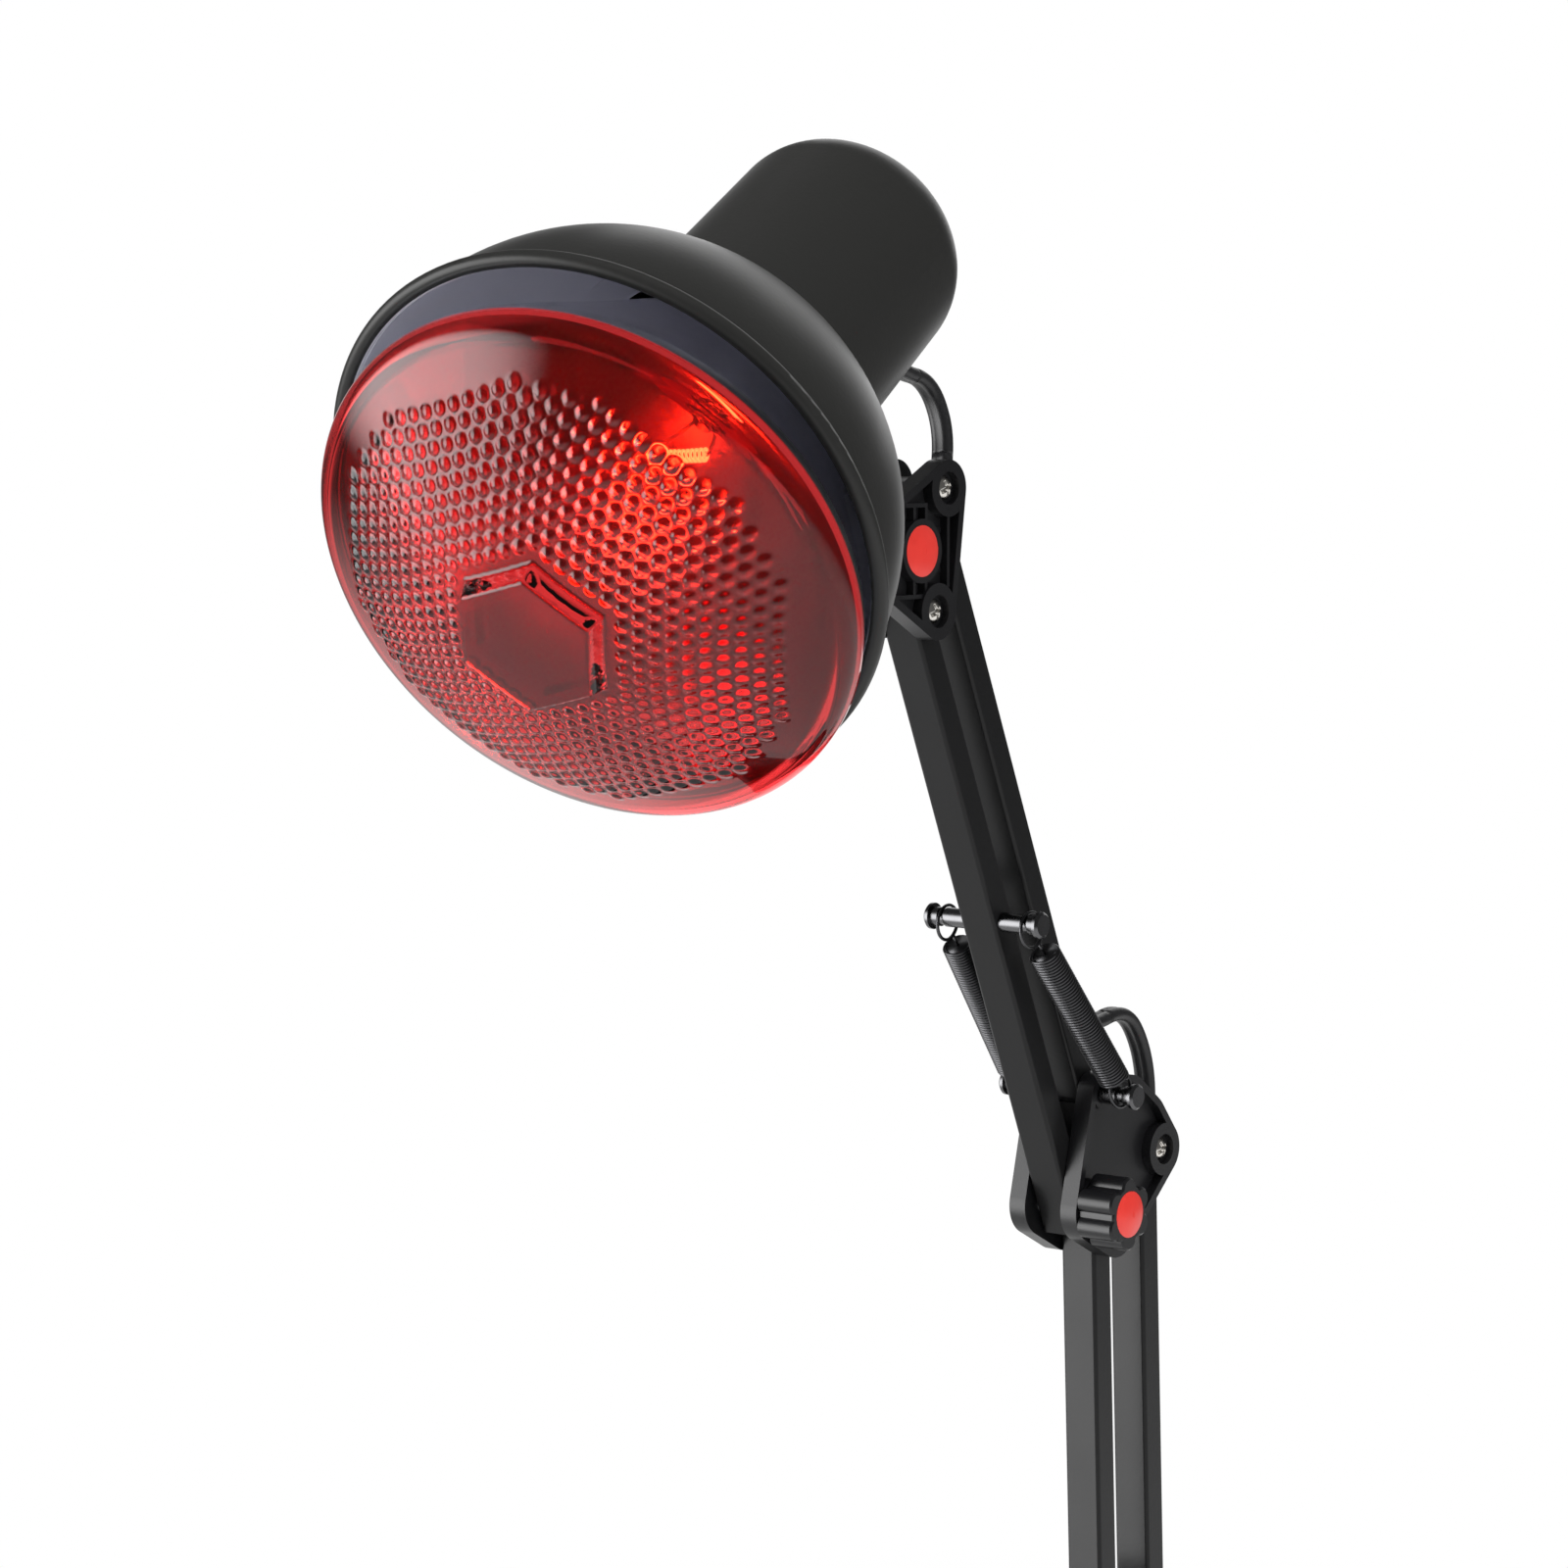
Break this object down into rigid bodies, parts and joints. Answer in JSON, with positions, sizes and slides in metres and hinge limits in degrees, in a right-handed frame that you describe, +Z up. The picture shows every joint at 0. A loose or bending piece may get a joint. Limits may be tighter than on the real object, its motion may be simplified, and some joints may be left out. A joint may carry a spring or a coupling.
{
  "type": "heat lamp",
  "caption": "Swing-arm infrared heat lamp with a red reflector bulb in a bowl shade, a spring-balanced parallelogram arm and a weighted round base.",
  "frame": {"origin": "centre of the base's underside, on the base swivel's axis", "axes": "+Z up, -Y to the front (the side that the bulb faces), every arm pivot along X"},
  "size_m": [0.19, 0.5895, 0.4959],
  "materials": {
    "shade": "satin black paint",
    "lens": "deep red pressed glass",
    "reflector": "vacuum-coated glass",
    "nickel": "nickel plate",
    "brass": "plain",
    "clear_glass": "clear",
    "ceramic": "glazed ceramic",
    "black_steel": "black oxide",
    "bar": "satin black paint",
    "black_plastic": "fine moulded grain",
    "red_cap": "gloss",
    "steel": "zinc plate",
    "cast_iron": "as cast",
    "rubber": "matte",
    "cord": "satin PVC",
    "rocker": "gloss"
  },
  "bodies": {
    "base": {"foot_pad": "rubber", "base_weight": "cast_iron", "base_cover": "black_plastic", "swivel_post": "steel", "cord_in_base": "cord", "cord_boot": "rubber", "cord_lead": "cord", "switch_body": "black_plastic", "cord_to_coil": "cord", "cord_coil": "cord", "cord_to_plug": "cord", "plug_body": "black_plastic", "plug_pins": "brass"},
    "rocker": {"switch_rocker": "rocker"},
    "turret": {"swivel_hub": "black_plastic", "base_half_near": "black_plastic", "base_half_far": "black_plastic", "base_rivets": "nickel", "base_spring_pin": "black_steel", "cord_base_loop": "cord"},
    "lower_front": {"lower_front_bar": "bar", "lower_spring_pin": "black_steel", "lower_springs": "black_steel"},
    "lower_rear": {"lower_rear_bar": "bar", "cord_lower": "cord"},
    "elbow": {"elbow_half_near": "black_plastic", "elbow_half_far": "black_plastic", "elbow_rivet": "nickel", "elbow_screw": "nickel", "elbow_spring_pin": "black_steel", "elbow_bolt": "steel", "cord_elbow_loop": "cord"},
    "knob": {"knob": "black_plastic", "knob_cap": "red_cap"},
    "upper_front": {"upper_front_bar": "bar", "upper_spring_pin": "black_steel", "upper_springs": "black_steel"},
    "upper_rear": {"upper_rear_bar": "bar", "cord_upper": "cord"},
    "head": {"head_half_near": "black_plastic", "head_half_far": "black_plastic", "head_screws": "nickel", "tilt_bolt": "steel", "tilt_washers": "rubber", "head_cap": "red_cap", "cord_head_loop": "cord"},
    "hub": {"tilt_hub": "black_plastic", "swivel_stud": "steel"},
    "lamp": {"shade_shell": "shade", "neck_cup": "shade", "cord_gland": "rubber", "swivel_saddle": "black_plastic", "bulb_lens": "lens", "bulb_reflector": "reflector", "bulb_cap": "brass", "bulb_filament": "clear_glass", "holder_body": "ceramic", "holder_contacts": "brass", "holder_nipple": "steel"}
  },
  "joints": [
    {"name": "base_swivel", "type": "hinge", "parent": "base", "child": "turret", "pos_m": [0, 0, 0.04], "axis": [0, 0, 1], "range_deg": [-150, 150]},
    {"name": "lower_arm", "type": "hinge", "parent": "turret", "child": "lower_rear", "pos_m": [0, 0.0108, 0.0764], "axis": [1, 0, 0], "range_deg": [-20, 35], "deforming": ["cord_base_loop"]},
    {"name": "lower_front_link", "type": "hinge", "parent": "turret", "child": "lower_front", "pos_m": [0, -0.0095, 0.0605], "axis": [1, 0, 0], "range_deg": [-20, 35], "deforming": ["lower_springs"]},
    {"name": "elbow_link", "type": "hinge", "parent": "lower_rear", "child": "elbow", "pos_m": [0, 0.00304, 0.25423], "axis": [1, 0, 0], "range_deg": [-35, 20]},
    {"name": "upper_arm", "type": "hinge", "parent": "elbow", "child": "upper_rear", "pos_m": [0, -0.02346, 0.27143], "axis": [1, 0, 0], "range_deg": [-15, 38], "deforming": ["cord_elbow_loop"]},
    {"name": "upper_front_link", "type": "hinge", "parent": "elbow", "child": "upper_front", "pos_m": [0, -0.02726, 0.24353], "axis": [1, 0, 0], "range_deg": [-15, 38], "deforming": ["upper_springs"]},
    {"name": "head_link", "type": "hinge", "parent": "upper_rear", "child": "head", "pos_m": [0, -0.08741, 0.41821], "axis": [1, 0, 0], "range_deg": [-38, 15]},
    {"name": "head_tilt", "type": "hinge", "parent": "head", "child": "hub", "pos_m": [0, -0.09748, 0.40421], "axis": [1, 0, 0], "range_deg": [-30, 60], "deforming": ["cord_head_loop"]},
    {"name": "head_swivel", "type": "hinge", "parent": "hub", "child": "lamp", "pos_m": [0, -0.1156, 0.43531], "axis": [0, -0.5035, 0.864], "range_deg": [-35, 25]},
    {"name": "knob_turn", "type": "hinge", "parent": "elbow", "child": "knob", "pos_m": [0, -0.02726, 0.24353], "axis": [1, 0, 0], "range_deg": [0, 270]},
    {"name": "switch", "type": "hinge", "parent": "base", "child": "rocker", "pos_m": [-0.052, 0.25, 0.0134], "axis": [1, 0, 0], "range_deg": [-14, 0]}
  ],
  "couplings": [
    {"joint": "lower_front_link", "follows": "lower_arm", "ratio": 1},
    {"joint": "elbow_link", "follows": "lower_arm", "ratio": -1},
    {"joint": "upper_front_link", "follows": "upper_arm", "ratio": 1},
    {"joint": "head_link", "follows": "upper_arm", "ratio": -1}
  ]
}
